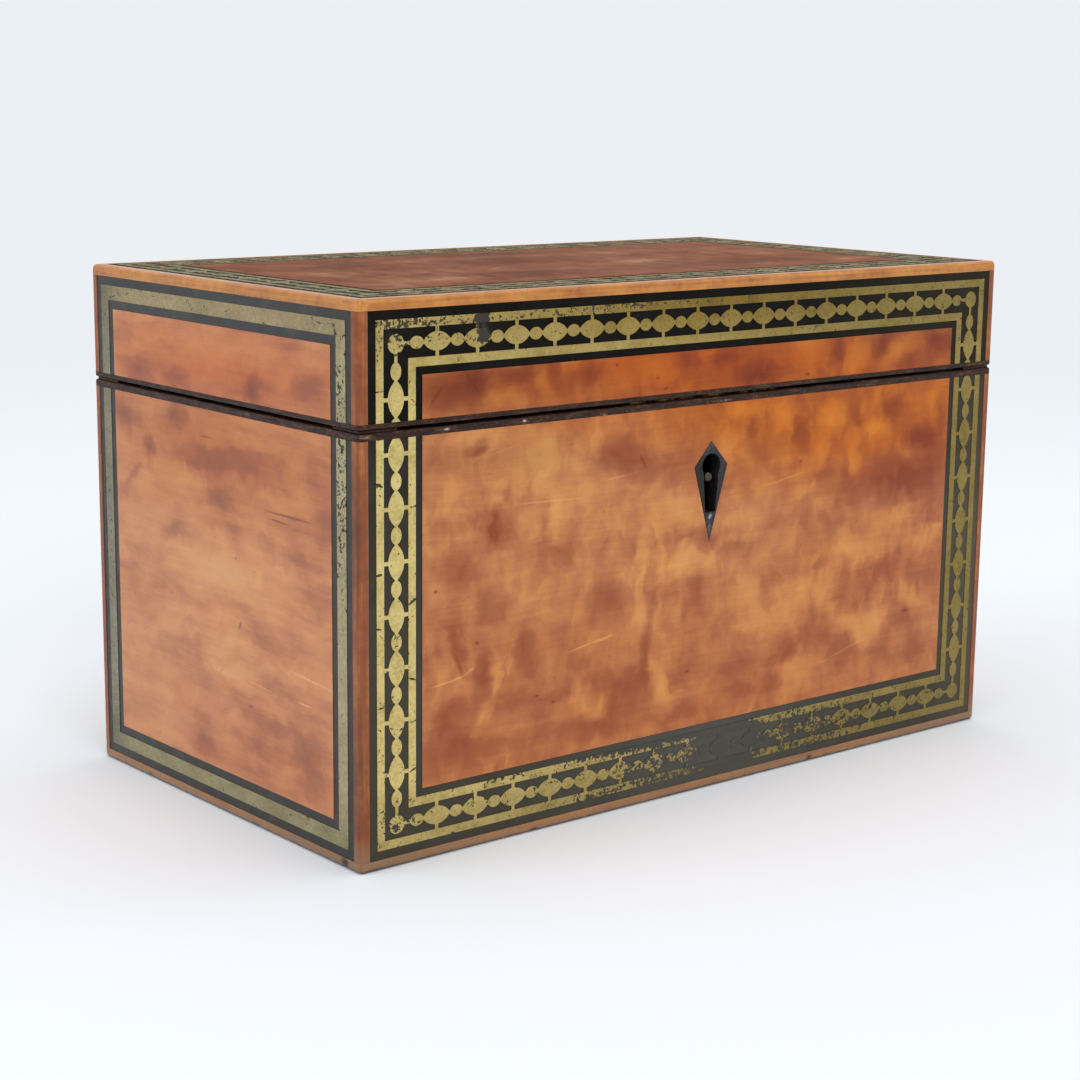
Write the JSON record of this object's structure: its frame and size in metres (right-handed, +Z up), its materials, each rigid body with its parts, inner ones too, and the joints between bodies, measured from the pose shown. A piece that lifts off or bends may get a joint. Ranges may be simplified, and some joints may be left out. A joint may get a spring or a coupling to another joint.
{
  "type": "tea caddy",
  "caption": "Rectangular veneered tea caddy with a back-hinged lid, two lift-out covered compartments, a link-plate lock and gilt bead borders.",
  "frame": {"origin": "middle of the underside, on the surface that the caddy rests on", "axes": "+Z up, the front with the keyhole faces -Y, +X runs along the width to the right as seen from the front"},
  "size_m": [0.229, 0.129, 0.14],
  "materials": {
    "satinwood_veneer": "mottled orange-brown satinwood, aged shellac polish",
    "edge_stringing": "golden-brown satinwood, rounded and polished",
    "ebonised_wood": "black-stained fruitwood, polished, worn",
    "gilding": "dull yellow gilding with chips and wear",
    "carcass_wood": "plain old pine",
    "liner_wood": "plain cedar",
    "lead_foil": "dull grey tea foil, creased",
    "cover_wood": "satinwood, polished",
    "knob": "turned boxwood, polished",
    "lining_paper": "faded blue-green paper",
    "lock_brass": "tarnished cast brass",
    "lock_iron": "dull grey iron",
    "hinge_brass": "tarnished brass, worn bright on the knuckles"
  },
  "bodies": {
    "base": {"base_front_veneer": "satinwood_veneer", "base_front_banding": "ebonised_wood", "base_front_gilding": "gilding", "base_back_veneer": "satinwood_veneer", "base_back_banding": "ebonised_wood", "base_back_gilding": "gilding", "base_end_veneers": "satinwood_veneer", "base_end_bandings": "ebonised_wood", "base_end_gildings": "gilding", "base_front_wall": "carcass_wood", "base_back_wall": "carcass_wood", "base_left_wall": "carcass_wood", "base_right_wall": "carcass_wood", "base_edge_stringing": "edge_stringing", "base_rim_facing": "ebonised_wood", "bottom_board": "carcass_wood", "partition": "liner_wood", "left_liner_boards": "liner_wood", "right_liner_boards": "liner_wood", "left_foil_lining": "lead_foil", "right_foil_lining": "lead_foil", "kite_escutcheon": "ebonised_wood", "lock_plate": "lock_brass", "lock_cap": "lock_iron", "drill_pin": "lock_iron", "bolt_spring": "lock_iron", "lock_screws": "lock_brass", "hinge_base_leaves": "hinge_brass", "hinge_pins": "hinge_brass", "hinge_base_screws": "hinge_brass"},
    "lid": {"lid_front_veneer": "satinwood_veneer", "lid_front_banding": "ebonised_wood", "lid_front_gilding": "gilding", "lid_back_veneer": "satinwood_veneer", "lid_back_banding": "ebonised_wood", "lid_back_gilding": "gilding", "lid_end_veneers": "satinwood_veneer", "lid_end_bandings": "ebonised_wood", "lid_end_gildings": "gilding", "lid_front_wall": "carcass_wood", "lid_back_wall": "carcass_wood", "lid_left_wall": "carcass_wood", "lid_right_wall": "carcass_wood", "lid_edge_stringing": "edge_stringing", "lid_rim_facing": "ebonised_wood", "lid_top_board": "carcass_wood", "lid_top_veneer": "satinwood_veneer", "lid_top_banding": "ebonised_wood", "lid_top_gilding": "gilding", "lid_lining": "lining_paper", "link_plate": "lock_brass", "link_plate_screws": "lock_brass", "hinge_lid_leaves": "hinge_brass", "hinge_lid_screws": "hinge_brass"},
    "left_cover": {"left_cover": "cover_wood", "left_cover_knob": "knob"},
    "right_cover": {"right_cover": "cover_wood", "right_cover_knob": "knob"},
    "lock_bolt": {"lock_bolt": "lock_brass"}
  },
  "joints": [
    {"name": "lid_hinge", "type": "hinge", "parent": "base", "child": "lid", "pos_m": [0, 0.0635, 0.1088], "axis": [-1, 0, 0], "range_deg": [0, 98]},
    {"name": "left_cover_lift", "type": "slide", "parent": "base", "child": "left_cover", "axis": [0, 0, 1], "range_m": [0, 0.015]},
    {"name": "right_cover_lift", "type": "slide", "parent": "base", "child": "right_cover", "axis": [0, 0, 1], "range_m": [0, 0.015]},
    {"name": "bolt_throw", "type": "slide", "parent": "base", "child": "lock_bolt", "axis": [1, 0, 0], "range_m": [0, 0.004]}
  ]
}
